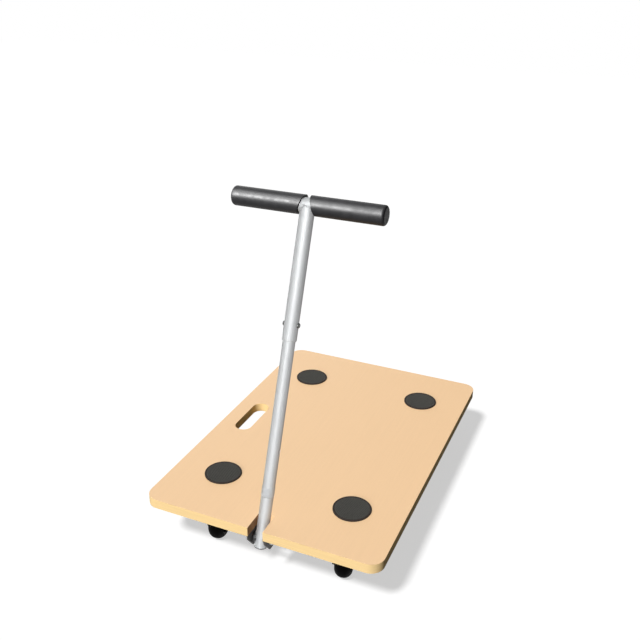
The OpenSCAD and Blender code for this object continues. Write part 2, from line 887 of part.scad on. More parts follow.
tyre(rl);  // tyre_rl
caster_plate(rr);  // caster_plate_rr
caster_kingpin(rr);  // caster_kingpin_rr
caster_balls(rr);  // caster_balls_rr
caster_fork(rr);  // caster_fork_rr
caster_axle(rr);  // caster_axle_rr
caster_nut(rr);  // caster_nut_rr
wheel_hub(rr);  // wheel_hub_rr
tyre(rr);  // tyre_rr
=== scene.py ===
"""Finished surfaces, grip details, studio and camera for a platform dolly with a telescopic handle."""

import json
import math

import bmesh
import bpy
from mathutils import Euler, Matrix, Vector

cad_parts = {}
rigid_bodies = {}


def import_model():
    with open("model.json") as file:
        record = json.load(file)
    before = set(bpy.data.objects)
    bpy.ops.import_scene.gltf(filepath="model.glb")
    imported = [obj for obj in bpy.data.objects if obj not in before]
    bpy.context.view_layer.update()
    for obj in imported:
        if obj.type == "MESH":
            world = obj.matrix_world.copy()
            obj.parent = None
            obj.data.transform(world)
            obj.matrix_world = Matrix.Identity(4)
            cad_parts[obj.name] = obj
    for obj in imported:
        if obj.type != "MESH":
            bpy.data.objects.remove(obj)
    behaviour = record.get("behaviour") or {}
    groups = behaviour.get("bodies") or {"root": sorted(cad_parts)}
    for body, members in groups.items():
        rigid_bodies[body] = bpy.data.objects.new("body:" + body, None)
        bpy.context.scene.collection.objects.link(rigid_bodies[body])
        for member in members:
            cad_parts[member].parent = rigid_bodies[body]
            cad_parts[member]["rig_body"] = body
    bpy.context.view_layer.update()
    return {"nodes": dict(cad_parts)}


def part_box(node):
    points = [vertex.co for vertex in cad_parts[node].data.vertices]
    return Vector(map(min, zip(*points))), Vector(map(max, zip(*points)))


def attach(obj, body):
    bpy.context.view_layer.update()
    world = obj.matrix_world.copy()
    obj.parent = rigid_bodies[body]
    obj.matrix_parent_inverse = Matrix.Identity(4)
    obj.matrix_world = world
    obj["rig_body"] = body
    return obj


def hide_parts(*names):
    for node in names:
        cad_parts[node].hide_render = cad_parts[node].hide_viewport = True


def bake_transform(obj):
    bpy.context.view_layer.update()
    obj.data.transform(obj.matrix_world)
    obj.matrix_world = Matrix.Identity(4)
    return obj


bl_info = {
    "name": "Platform Dolly",
    "version": (1, 0, 0),
    "blender": (4, 5, 0),
    "location": "3D View > Sidebar > Dolly",
    "description": "Board, grip pads, fasteners, finishes and studio of a platform dolly",
    "category": "Add Mesh",
}

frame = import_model()
NODES = frame["nodes"]
BOARD_LOW, BOARD_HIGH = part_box("deck_board")
PAD_LOW, PAD_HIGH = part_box("pad_front_left")
# The notch's back wall is the only part of the board so near its middle line
NOTCH_BACK = min(v.co.y for v in NODES["deck_board"].data.vertices if abs(v.co.x) < 0.009)
WHEELS = ("fl", "fr", "rl", "rr")


# Small helpers


def linear(code):
    """sRGB hex code to the linear colour that a shader takes."""
    parts = [int(code[i:i + 2], 16) / 255 for i in (1, 3, 5)]
    return [c / 12.92 if c <= 0.04045 else ((c + 0.055) / 1.055) ** 2.4 for c in parts] + [1.0]


def add(tree, kind, inputs=None, **options):
    """One node with its options set, and its inputs given a value or linked to a socket."""
    node = tree.nodes.new(kind)
    for name, value in options.items():
        setattr(node, name, value)
    for key, value in (inputs or {}).items():
        if isinstance(value, bpy.types.NodeSocket):
            tree.links.new(value, node.inputs[key])
        else:
            node.inputs[key].default_value = value
    return node


def new_object(name, data):
    piece = bpy.data.objects.new(name, data)
    bpy.context.scene.collection.objects.link(piece)
    return piece


def baked(piece):
    """The piece with its modifiers applied, as a plain mesh at the origin."""
    depsgraph = bpy.context.evaluated_depsgraph_get()
    mesh = bpy.data.meshes.new_from_object(piece.evaluated_get(depsgraph), depsgraph=depsgraph)
    name = piece.name
    old = piece.data
    plain = new_object(name + "_plain", mesh)
    bpy.data.objects.remove(piece)
    if old.users == 0 and isinstance(old, bpy.types.Mesh):
        bpy.data.meshes.remove(old)
    plain.name = name
    mesh.name = name
    if not mesh.vertices:
        raise RuntimeError(name + " came out empty")
    return plain


def smooth(piece, angle=30):
    """Smooth shading, with every edge sharper than the angle kept crisp."""
    mesh = piece.data
    mesh.polygons.foreach_set("use_smooth", [True] * len(mesh.polygons))
    mesh.set_sharp_from_angle(angle=math.radians(angle))


def island_boxes(node):
    """Lowest and highest corner of each separate solid in a CAD node."""
    work = bmesh.new()
    work.from_mesh(NODES[node].data)
    bmesh.ops.remove_doubles(work, verts=work.verts, dist=1e-6)
    seen, boxes = set(), []
    for start in work.verts:
        if start in seen:
            continue
        stack, members = [start], []
        seen.add(start)
        while stack:
            v = stack.pop()
            members.append(v.co.copy())
            for edge in v.link_edges:
                other = edge.other_vert(v)
                if other not in seen:
                    seen.add(other)
                    stack.append(other)
        boxes.append((Vector(map(min, *members)), Vector(map(max, *members))))
    work.free()
    return boxes


def spots(name, points):
    """A mesh of loose points, for instances to stand on."""
    mesh = bpy.data.meshes.new(name)
    mesh.from_pydata([tuple(p) for p in points], [], [])
    return new_object(name, mesh)


def growth_tree(name, sizes):
    """An empty geometry tree with named size inputs, and its input and output nodes."""
    tree = bpy.data.node_groups.new(name, "GeometryNodeTree")
    tree.interface.new_socket("Geometry", in_out="OUTPUT", socket_type="NodeSocketGeometry")
    tree.interface.new_socket("Geometry", in_out="INPUT", socket_type="NodeSocketGeometry")
    for label, kind in sizes:
        tree.interface.new_socket(label, in_out="INPUT", socket_type=kind)
    return tree, add(tree, "NodeGroupInput"), add(tree, "NodeGroupOutput")


def grow(piece, tree, values):
    """Runs the tree on the piece with its inputs set by identifier, and bakes the result."""
    modifier = piece.modifiers.new(tree.name, "NODES")
    modifier.node_group = tree
    for item in tree.interface.items_tree:
        if item.item_type == "SOCKET" and item.in_out == "INPUT" and item.name in values:
            modifier[item.identifier] = values[item.name]
    plain = baked(piece)
    bpy.data.node_groups.remove(tree)
    return plain


def frame_objects(*bodies):
    """The CAD nodes that ride on these bodies."""
    return [piece for piece in NODES.values() if piece.get("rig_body") in bodies]


def dress(material, *names):
    """Gives CAD nodes their finish."""
    for name in names:
        slots = NODES[name].data.materials
        slots.clear()
        slots.append(material)


# Settings


class DollyBoardSettings(bpy.types.PropertyGroup):
    """Sizes and colours of the board."""

    width: bpy.props.FloatProperty(
        name="Width", description="Across the board", unit="LENGTH",
        default=BOARD_HIGH.x - BOARD_LOW.x)
    length: bpy.props.FloatProperty(
        name="Length", description="From the notched edge to the far edge", unit="LENGTH",
        default=BOARD_HIGH.y - BOARD_LOW.y)
    thickness: bpy.props.FloatProperty(
        name="Thickness", description="Thickness of the board", unit="LENGTH",
        default=BOARD_HIGH.z - BOARD_LOW.z)
    corner: bpy.props.FloatProperty(
        name="Corner radius", description="Radius of the board's corners", unit="LENGTH",
        default=0.022)
    notch_width: bpy.props.FloatProperty(
        name="Notch width", description="Width of the handle's notch", unit="LENGTH",
        default=0.025)
    # The notch walls' darker brown is painted shade, for walls that stand in shadow
    notch_shade_colour: bpy.props.FloatVectorProperty(
        name="Notch", description="Notch walls, browned by the cutter", subtype="COLOR", size=4,
        min=0, max=1, default=linear("#C89B72"))
    notch_corner: bpy.props.FloatProperty(
        name="Notch corners", description="Radius of the notch's inner corners", unit="LENGTH",
        default=0.004)
    slot_length: bpy.props.FloatProperty(
        name="Slot length", description="Overall length of the carrying slot", unit="LENGTH",
        default=0.096)
    slot_width: bpy.props.FloatProperty(
        name="Slot width", description="Width of the carrying slot", unit="LENGTH",
        default=0.030)
    slot_centre: bpy.props.FloatVectorProperty(
        name="Slot centre", description="Middle of the carrying slot, seen from above",
        size=2, subtype="XYZ", unit="LENGTH", default=(-0.152, -0.002))
    arris: bpy.props.FloatProperty(
        name="Eased edge", description="Width of the sanded arris", unit="LENGTH",
        default=0.0007)
    face_colour: bpy.props.FloatVectorProperty(
        name="Face", description="Lacquered face of the board", subtype="COLOR", size=4,
        min=0, max=1, default=linear("#F2CCA0"))
    edge_colour: bpy.props.FloatVectorProperty(
        name="Edge", description="Sawn and sealed edge of the board", subtype="COLOR", size=4,
        min=0, max=1, default=linear("#FCDA9E"))


class DollyPadSettings(bpy.types.PropertyGroup):
    """Sizes and colour of the grip pads."""

    diameter: bpy.props.FloatProperty(
        name="Diameter", description="Diameter of a grip pad", unit="LENGTH",
        default=PAD_HIGH.x - PAD_LOW.x)
    thickness: bpy.props.FloatProperty(
        name="Thickness", description="Thickness of a grip pad", unit="LENGTH",
        default=PAD_HIGH.z - PAD_LOW.z)
    rim: bpy.props.FloatProperty(
        name="Rim", description="Width of the plain rim round the studs", unit="LENGTH",
        default=0.0022)
    stud_pitch: bpy.props.FloatProperty(
        name="Stud pitch", description="Distance between neighbouring studs", unit="LENGTH",
        default=0.0024)
    stud_height: bpy.props.FloatProperty(
        name="Stud height", description="Height of a stud, level with the rim", unit="LENGTH",
        default=0.0005)
    colour: bpy.props.FloatVectorProperty(
        name="Rubber", description="Colour of the grip pads", subtype="COLOR", size=4,
        min=0, max=1, default=linear("#373632"))
    # The rim's dark brown is painted shade on the pads' sides
    rim_shade_colour: bpy.props.FloatVectorProperty(
        name="Rubber rim", description="Colour of their plain rim", subtype="COLOR", size=4,
        min=0, max=1, default=linear("#1D140F"))


class DollyHandleSettings(bpy.types.PropertyGroup):
    """Sizes and colours of the handle."""

    lean: bpy.props.FloatProperty(
        name="Lean", description="Lean of the pole from upright", unit="ROTATION",
        subtype="ANGLE", default=math.radians(18.8))
    tube_diameter: bpy.props.FloatProperty(
        name="Tube", description="Diameter of the upper tube and the crossbar", unit="LENGTH",
        default=0.022)
    bead: bpy.props.FloatProperty(
        name="Weld bead", description="Radius of the weld bead", unit="LENGTH", default=0.0008)
    spring_leg: bpy.props.FloatProperty(
        name="Spring leg", description="Length of a leg of the V spring below its button",
        unit="LENGTH", default=0.042)
    ripples: bpy.props.IntProperty(
        name="Weld ripples", description="Ripples along the whole seam", default=58)
    tube_colour: bpy.props.FloatVectorProperty(
        name="Tube", description="Silver lacquer of the tubes", subtype="COLOR", size=4,
        min=0, max=1, default=linear("#C4C6C7"))
    grip_colour: bpy.props.FloatVectorProperty(
        name="Grips", description="Foam of the grips", subtype="COLOR", size=4,
        min=0, max=1, default=linear("#080809"))


class DollyFastenerSettings(bpy.types.PropertyGroup):
    """Sizes of the wood screws under the board."""

    diameter: bpy.props.FloatProperty(
        name="Shank", description="Diameter of a wood screw", unit="LENGTH", default=0.0042)
    recess_width: bpy.props.FloatProperty(
        name="Recess width", description="Width of one arm of the cross recess", unit="LENGTH",
        default=0.0011)
    recess_length: bpy.props.FloatProperty(
        name="Recess length", description="Length over the cross recess", unit="LENGTH",
        default=0.0046)
    recess_depth: bpy.props.FloatProperty(
        name="Recess depth", description="Depth of the cross recess", unit="LENGTH",
        default=0.0013)
    heading: bpy.props.FloatProperty(
        name="Heading", description="Turn of the wheels at rest", subtype="ANGLE",
        unit="ROTATION", default=math.radians(11.0))


class DollyStudioSettings(bpy.types.PropertyGroup):
    """Camera, lamps and floor."""

    camera_place: bpy.props.FloatVectorProperty(
        name="Camera", description="Where the camera stands", subtype="XYZ", unit="LENGTH",
        size=3, default=(0.449, -1.107, 0.869))
    camera_turn: bpy.props.FloatVectorProperty(
        name="Camera turn", description="How the camera is turned", subtype="EULER", size=3,
        default=[math.radians(a) for a in (65.3972, -0.8274, 23.3960)])
    lens: bpy.props.FloatProperty(
        name="Lens", description="Focal length in mm", default=44.79)
    key_from: bpy.props.FloatVectorProperty(
        name="Key from", description="Direction that the key light comes from",
        subtype="DIRECTION", size=3, default=(-0.15, -0.77, 1.0))
    key_strength: bpy.props.FloatProperty(
        name="Key", description="Strength of the key light", default=2.95)
    key_softness: bpy.props.FloatProperty(
        name="Key softness", description="Angular size of the key light", subtype="ANGLE",
        unit="ROTATION", default=math.radians(8))
    fill_strength: bpy.props.FloatProperty(
        name="Fill", description="Strength of the low frontal light", default=1.25)
    pole_strength: bpy.props.FloatProperty(
        name="Tubes", description="Strength of the lamp on the tubes", default=3.4)
    grip_strength: bpy.props.FloatProperty(
        name="Grips", description="Strength of the lamp on the grips", default=26.0)
    glow_strength: bpy.props.FloatProperty(
        name="Grips, wide", description="Strength of the wide lamp on the grips", default=10.0)
    back_strength: bpy.props.FloatProperty(
        name="Back", description="Strength of the light from behind", default=0.55)
    ambient: bpy.props.FloatProperty(
        name="Ambient", description="Even light from all round", default=0.09)
    shadow_level: bpy.props.FloatProperty(
        name="Shadow", description="Brightness of the floor in full shadow", default=0.55)


# Finishes


def begin_finish(name, scale=(1, 1, 1), turn=(0, 0, 0)):
    """A material with its shader and a pattern space in metres, turned and scaled."""
    material = bpy.data.materials.new(name)
    material.use_nodes = True
    tree = material.node_tree
    tree.nodes.clear()
    output = add(tree, "ShaderNodeOutputMaterial")
    shader = add(tree, "ShaderNodeBsdfPrincipled")
    tree.links.new(shader.outputs[0], output.inputs["Surface"])
    place = add(tree, "ShaderNodeTexCoord")
    space = add(tree, "ShaderNodeMapping",
                {"Vector": place.outputs["Object"], "Scale": scale, "Rotation": turn})
    return material, tree, shader, space.outputs[0]


def tinted(tree, fac, low, high, dark, light, colour):
    """A colour that runs from dark to light times its own value as a pattern goes low to high."""
    level = add(tree, "ShaderNodeMapRange",
                {"Value": fac, "From Min": low, "From Max": high, "To Min": dark,
                 "To Max": light})
    return add(tree, "ShaderNodeVectorMath", {0: colour, 1: level.outputs[0]},
               operation="MULTIPLY").outputs[0]


def raised(tree, shader, height, distance, strength=1.0):
    """Gives the shader small relief of so many metres."""
    bump = add(tree, "ShaderNodeBump",
               {"Height": height, "Distance": distance, "Strength": strength})
    tree.links.new(bump.outputs[0], shader.inputs["Normal"])


def beech_face(colour):
    # Beech veneer under satin lacquer: nearly even, with fine long grain and short dark flecks
    # that only show from near
    material, tree, shader, space = begin_finish("lacquered_beech_veneer", (260, 9, 260))
    grain = add(tree, "ShaderNodeTexNoise",
                {"Vector": space, "Scale": 1.0, "Detail": 4.0, "Roughness": 0.55,
                 "Distortion": 0.3})
    place = add(tree, "ShaderNodeTexCoord")
    # Rays and pores of beech, 0.5 mm wide and 4 mm long, drawn twice as coarse so that they show
    flecks_at = add(tree, "ShaderNodeMapping",
                    {"Vector": place.outputs["Object"], "Scale": (900, 110, 900)})
    flecks = add(tree, "ShaderNodeTexNoise",
                 {"Vector": flecks_at.outputs[0], "Scale": 1.0, "Detail": 2.0})
    fleck = add(tree, "ShaderNodeMapRange",
                {"Value": flecks.outputs[0], "From Min": 0.63, "From Max": 0.70,
                 "To Min": 0.0, "To Max": 1.0})
    broad = add(tree, "ShaderNodeTexNoise",
                {"Vector": place.outputs["Object"], "Scale": 5.0, "Detail": 2.0})
    base = tinted(tree, grain.outputs[0], 0.3, 0.7, 0.985, 1.008, colour[:3])
    base = tinted(tree, broad.outputs[0], 0.35, 0.65, 0.997, 1.002, base)
    dark = add(tree, "ShaderNodeMapRange",
               {"Value": fleck.outputs[0], "To Min": 1.0, "To Max": 0.972})
    base = add(tree, "ShaderNodeVectorMath", {0: base, 1: dark.outputs[0]},
               operation="MULTIPLY").outputs[0]
    tree.links.new(base, shader.inputs["Base Color"])
    shader.inputs["Roughness"].default_value = 0.5
    shader.inputs["Specular IOR Level"].default_value = 0.3
    raised(tree, shader, grain.outputs[0], 0.00004)
    return material


def beech_edge(name, colour):
    # Routed board edge under sealer: matt, with faint layers along it; pale on the outer edges,
    # and a darker brown on the notch's side walls, which is painted shade
    material, tree, shader, space = begin_finish(name, (30, 30, 700))
    layers = add(tree, "ShaderNodeTexNoise",
                 {"Vector": space, "Scale": 1.0, "Detail": 3.0, "Roughness": 0.6})
    base = tinted(tree, layers.outputs[0], 0.3, 0.7, 0.94, 1.02, colour[:3])
    tree.links.new(base, shader.inputs["Base Color"])
    shader.inputs["Roughness"].default_value = 0.85
    shader.inputs["Specular IOR Level"].default_value = 0.05
    raised(tree, shader, layers.outputs[0], 0.00008)
    return material


def pad_rubber(name, colour):
    # Moulded anti-slip rubber: dull, a little brown, with dust in the texture; the plain rim is
    # made darker as painted shade, for the pads' shaded sides
    material, tree, shader, space = begin_finish(name)
    dust = add(tree, "ShaderNodeTexNoise",
               {"Vector": space, "Scale": 90.0, "Detail": 5.0, "Roughness": 0.6})
    grit = add(tree, "ShaderNodeTexNoise",
               {"Vector": space, "Scale": 2600.0, "Detail": 2.0})
    base = tinted(tree, dust.outputs[0], 0.3, 0.7, 0.82, 1.15, colour[:3])
    tree.links.new(base, shader.inputs["Base Color"])
    rough = add(tree, "ShaderNodeMapRange",
                {"Value": dust.outputs[0], "From Min": 0.3, "From Max": 0.7,
                 "To Min": 0.68, "To Max": 0.82})
    tree.links.new(rough.outputs[0], shader.inputs["Roughness"])
    shader.inputs["IOR"].default_value = 1.5
    shader.inputs["Specular IOR Level"].default_value = 0.35
    raised(tree, shader, grit.outputs[0], 0.00006)
    return material


def painted_steel(name, code, roughness, peel):
    # Stove enamel on pressed steel: dark, with a soft broken shine from its orange peel
    material, tree, shader, space = begin_finish(name)
    ripple = add(tree, "ShaderNodeTexNoise",
                 {"Vector": space, "Scale": peel, "Detail": 2.0})
    patches = add(tree, "ShaderNodeTexNoise",
                  {"Vector": space, "Scale": 60.0, "Detail": 3.0})
    base = tinted(tree, patches.outputs[0], 0.3, 0.7, 0.88, 1.12, linear(code)[:3])
    tree.links.new(base, shader.inputs["Base Color"])
    rough = add(tree, "ShaderNodeMapRange",
                {"Value": patches.outputs[0], "From Min": 0.3, "From Max": 0.7,
                 "To Min": roughness - 0.05, "To Max": roughness + 0.07})
    tree.links.new(rough.outputs[0], shader.inputs["Roughness"])
    shader.inputs["IOR"].default_value = 1.5
    shader.inputs["Specular IOR Level"].default_value = 0.4
    raised(tree, shader, ripple.outputs[0], 0.00008)
    return material


def silver_lacquer(colour, lean):
    # Silver lacquer with fine metal flake over drawn steel tube: half diffuse, half mirror,
    # with faint draw lines along the tube
    material, tree, shader, space = begin_finish(
        "silver_flake_lacquer", (2200, 2200, 60), (lean, 0, 0))
    lines = add(tree, "ShaderNodeTexNoise", {"Vector": space, "Scale": 1.0, "Detail": 2.0})
    place = add(tree, "ShaderNodeTexCoord")
    # Flake of 0.05 mm, drawn at 0.5 mm so that it shows
    flake = add(tree, "ShaderNodeTexNoise",
                {"Vector": place.outputs["Object"], "Scale": 2000.0, "Detail": 1.0})
    base = tinted(tree, flake.outputs[0], 0.3, 0.7, 0.985, 1.015, colour[:3])
    tree.links.new(base, shader.inputs["Base Color"])
    rough = add(tree, "ShaderNodeMapRange",
                {"Value": lines.outputs[0], "From Min": 0.3, "From Max": 0.7,
                 "To Min": 0.53, "To Max": 0.61})
    tree.links.new(rough.outputs[0], shader.inputs["Roughness"])
    shader.inputs["Metallic"].default_value = 0.5
    shader.inputs["Specular IOR Level"].default_value = 0.2
    shader.inputs["Specular Tint"].default_value = linear("#6A6A6A")
    raised(tree, shader, lines.outputs[0], 0.000002)
    return material


def foam_grip(colour):
    # EVA foam sleeve, buffed after turning: charcoal with closed cells and a broad soft shine
    material, tree, shader, space = begin_finish("buffed_eva_foam")
    # Cells of 0.3 mm, drawn at 0.6 mm so that they show
    cells = add(tree, "ShaderNodeTexVoronoi", {"Vector": space, "Scale": 1600.0})
    patches = add(tree, "ShaderNodeTexNoise",
                  {"Vector": space, "Scale": 120.0, "Detail": 4.0})
    base = tinted(tree, patches.outputs[0], 0.3, 0.7, 0.86, 1.14, colour[:3])
    tree.links.new(base, shader.inputs["Base Color"])
    rough = add(tree, "ShaderNodeMapRange",
                {"Value": patches.outputs[0], "From Min": 0.3, "From Max": 0.7,
                 "To Min": 0.40, "To Max": 0.52})
    tree.links.new(rough.outputs[0], shader.inputs["Roughness"])
    shader.inputs["IOR"].default_value = 1.5
    shader.inputs["Specular IOR Level"].default_value = 0.15
    raised(tree, shader, cells.outputs[0], 0.00006)
    return material


def bare_metal(name, code, roughness, smear):
    # Plated or ground steel: a true mirror colour, dulled unevenly by handling
    material, tree, shader, space = begin_finish(name)
    smears = add(tree, "ShaderNodeTexNoise",
                 {"Vector": space, "Scale": 220.0, "Detail": 4.0, "Roughness": 0.6})
    base = tinted(tree, smears.outputs[0], 0.3, 0.7, 1 - smear, 1 + smear / 2,
                  linear(code)[:3])
    tree.links.new(base, shader.inputs["Base Color"])
    rough = add(tree, "ShaderNodeMapRange",
                {"Value": smears.outputs[0], "From Min": 0.3, "From Max": 0.7,
                 "To Min": roughness * 0.8, "To Max": roughness * 1.25})
    tree.links.new(rough.outputs[0], shader.inputs["Roughness"])
    shader.inputs["Metallic"].default_value = 1.0
    raised(tree, shader, smears.outputs[0], 0.00002)
    return material


def moulded_plastic(name, code, roughness, ior, grain):
    # Injection moulded plastic with a spark-eroded grain: even colour and a soft shine
    material, tree, shader, space = begin_finish(name)
    texture = add(tree, "ShaderNodeTexNoise",
                  {"Vector": space, "Scale": grain, "Detail": 3.0})
    patches = add(tree, "ShaderNodeTexNoise",
                  {"Vector": space, "Scale": 70.0, "Detail": 2.0})
    base = tinted(tree, patches.outputs[0], 0.3, 0.7, 0.93, 1.05, linear(code)[:3])
    tree.links.new(base, shader.inputs["Base Color"])
    shader.inputs["Roughness"].default_value = roughness
    shader.inputs["IOR"].default_value = ior
    raised(tree, shader, texture.outputs[0], 0.00004)
    return material


def tyre_rubber(heading):
    # Thermoplastic rubber tyre: near black, with a dusty tread and cleaner walls
    material, tree, shader, space = begin_finish("thermoplastic_tyre_rubber")
    place = add(tree, "ShaderNodeTexCoord")
    axle = (math.cos(heading), math.sin(heading), 0)
    across = add(tree, "ShaderNodeVectorMath", {0: place.outputs["Normal"], 1: axle},
                 operation="DOT_PRODUCT")
    size = add(tree, "ShaderNodeMath", {0: across.outputs["Value"]}, operation="ABSOLUTE")
    tread = add(tree, "ShaderNodeMapRange",
                {"Value": size.outputs[0], "From Min": 0.25, "From Max": 0.6,
                 "To Min": 1.0, "To Max": 0.0})
    dust = add(tree, "ShaderNodeTexNoise",
               {"Vector": space, "Scale": 300.0, "Detail": 5.0, "Roughness": 0.65})
    amount = add(tree, "ShaderNodeMath", {0: tread.outputs[0], 1: dust.outputs[0]},
                 operation="MULTIPLY")
    mix = add(tree, "ShaderNodeMix",
              {0: amount.outputs[0], 6: linear("#040404"), 7: linear("#0C0B0B")},
              data_type="RGBA")
    tree.links.new(mix.outputs[2], shader.inputs["Base Color"])
    rough = add(tree, "ShaderNodeMapRange",
                {"Value": amount.outputs[0], "To Min": 0.5, "To Max": 0.9})
    tree.links.new(rough.outputs[0], shader.inputs["Roughness"])
    shader.inputs["IOR"].default_value = 1.5
    shader.inputs["Specular IOR Level"].default_value = 0.03
    raised(tree, shader, dust.outputs[0], 0.00005)
    return material


# Growth rules


def stud_pad_tree(material, rim_shade_material):
    """Round pads with a bevelled rim and rows of fine studs, one on each point."""
    tree, given, result = growth_tree("stud_pads", (
        ("Diameter", "NodeSocketFloat"), ("Thickness", "NodeSocketFloat"),
        ("Rim", "NodeSocketFloat"), ("Bevel", "NodeSocketFloat"),
        ("Stud Pitch", "NodeSocketFloat"), ("Stud Height", "NodeSocketFloat")))

    def sum_of(a, b, kind="ADD"):
        return add(tree, "ShaderNodeMath", {0: a, 1: b}, operation=kind).outputs[0]

    radius = sum_of(given.outputs["Diameter"], 2.0, "DIVIDE")
    straight = sum_of(given.outputs["Thickness"], given.outputs["Bevel"], "SUBTRACT")
    side = add(tree, "GeometryNodeMeshCylinder",
               {"Vertices": 96, "Side Segments": 1, "Radius": radius, "Depth": straight},
               fill_type="NONE")
    half = sum_of(straight, 2.0, "DIVIDE")
    lift = add(tree, "ShaderNodeCombineXYZ", {"Z": half})
    side = add(tree, "GeometryNodeTransform",
               {"Geometry": side.outputs[0], "Translation": lift.outputs[0]})
    crown_r = sum_of(radius, given.outputs["Bevel"], "SUBTRACT")
    floor_r = sum_of(crown_r, given.outputs["Rim"], "SUBTRACT")
    bevel = add(tree, "GeometryNodeMeshCone",
                {"Vertices": 96, "Radius Top": crown_r, "Radius Bottom": radius,
                 "Depth": given.outputs["Bevel"]}, fill_type="NONE")
    up = add(tree, "ShaderNodeCombineXYZ", {"Z": straight})
    bevel = add(tree, "GeometryNodeTransform",
                {"Geometry": bevel.outputs[0], "Translation": up.outputs[0]})
    # The rim's inner wall drops to the floor that the studs stand on
    floor_z = sum_of(given.outputs["Thickness"], given.outputs["Stud Height"], "SUBTRACT")
    inner = add(tree, "GeometryNodeMeshCone",
                {"Vertices": 96, "Radius Top": crown_r, "Radius Bottom": floor_r,
                 "Depth": given.outputs["Stud Height"]}, fill_type="NONE")
    down = add(tree, "ShaderNodeCombineXYZ", {"Z": floor_z})
    inner = add(tree, "GeometryNodeTransform",
                {"Geometry": inner.outputs[0], "Translation": down.outputs[0]})
    # This band faces the middle, so it is turned inside out
    inner = add(tree, "GeometryNodeFlipFaces", {"Mesh": inner.outputs[0]})
    floor = add(tree, "GeometryNodeMeshCircle", {"Vertices": 96, "Radius": floor_r},
                fill_type="NGON")
    floor = add(tree, "GeometryNodeTransform",
                {"Geometry": floor.outputs[0], "Translation": down.outputs[0]})
    under = add(tree, "GeometryNodeMeshCircle", {"Vertices": 96, "Radius": radius},
                fill_type="NGON")
    under = add(tree, "GeometryNodeFlipFaces", {"Mesh": under.outputs[0]})
    shell = add(tree, "GeometryNodeJoinGeometry")
    # Side, bevel and rim wall take the darker rubber, which is painted shade
    for part, skin in ((side, rim_shade_material), (bevel, rim_shade_material), (inner, rim_shade_material),
                       (floor, material), (under, material)):
        part = add(tree, "GeometryNodeSetMaterial", {"Geometry": part.outputs[0]})
        part.inputs["Material"].default_value = skin
        tree.links.new(part.outputs[0], shell.inputs[0])
    shell = add(tree, "GeometryNodeMergeByDistance",
                {"Geometry": shell.outputs[0], "Distance": 0.00002})
    # Studs on a square grid turned by 45 degrees, kept where they clear the rim
    span = sum_of(floor_r, 2.0, "MULTIPLY")
    count = add(tree, "ShaderNodeMath",
                {0: sum_of(span, given.outputs["Stud Pitch"], "DIVIDE")}, operation="CEIL")
    grid = add(tree, "GeometryNodeMeshGrid",
               {"Size X": span, "Size Y": span, "Vertices X": count.outputs[0],
                "Vertices Y": count.outputs[0]})
    place = add(tree, "GeometryNodeInputPosition")
    out = add(tree, "ShaderNodeVectorMath", {0: place.outputs[0]}, operation="LENGTH")
    limit = sum_of(floor_r, sum_of(given.outputs["Stud Pitch"], 0.45, "MULTIPLY"), "SUBTRACT")
    far = add(tree, "FunctionNodeCompare", {0: out.outputs["Value"], 1: limit},
              data_type="FLOAT", operation="GREATER_THAN")
    kept = add(tree, "GeometryNodeDeleteGeometry",
               {"Geometry": grid.outputs[0], "Selection": far.outputs[0]}, domain="POINT")
    wide = sum_of(given.outputs["Stud Pitch"], 0.58, "MULTIPLY")
    narrow = sum_of(wide, 0.6, "MULTIPLY")
    stud = add(tree, "GeometryNodeMeshCone",
               {"Vertices": 4, "Radius Top": narrow, "Radius Bottom": wide,
                "Depth": given.outputs["Stud Height"]})
    stud = add(tree, "GeometryNodeSetMaterial", {"Geometry": stud.outputs[0]})
    stud.inputs["Material"].default_value = material
    studs = add(tree, "GeometryNodeInstanceOnPoints",
                {"Points": kept.outputs[0], "Instance": stud.outputs[0]})
    studs = add(tree, "GeometryNodeTransform",
                {"Geometry": studs.outputs[0], "Translation": down.outputs[0],
                 "Rotation": (0, 0, math.radians(45))})
    whole = add(tree, "GeometryNodeJoinGeometry")
    tree.links.new(shell.outputs[0], whole.inputs[0])
    tree.links.new(studs.outputs[0], whole.inputs[0])
    pads = add(tree, "GeometryNodeInstanceOnPoints",
               {"Points": given.outputs["Geometry"], "Instance": whole.outputs[0]})
    real = add(tree, "GeometryNodeRealizeInstances", {"Geometry": pads.outputs[0]})
    tree.links.new(real.outputs[0], result.inputs[0])
    return tree


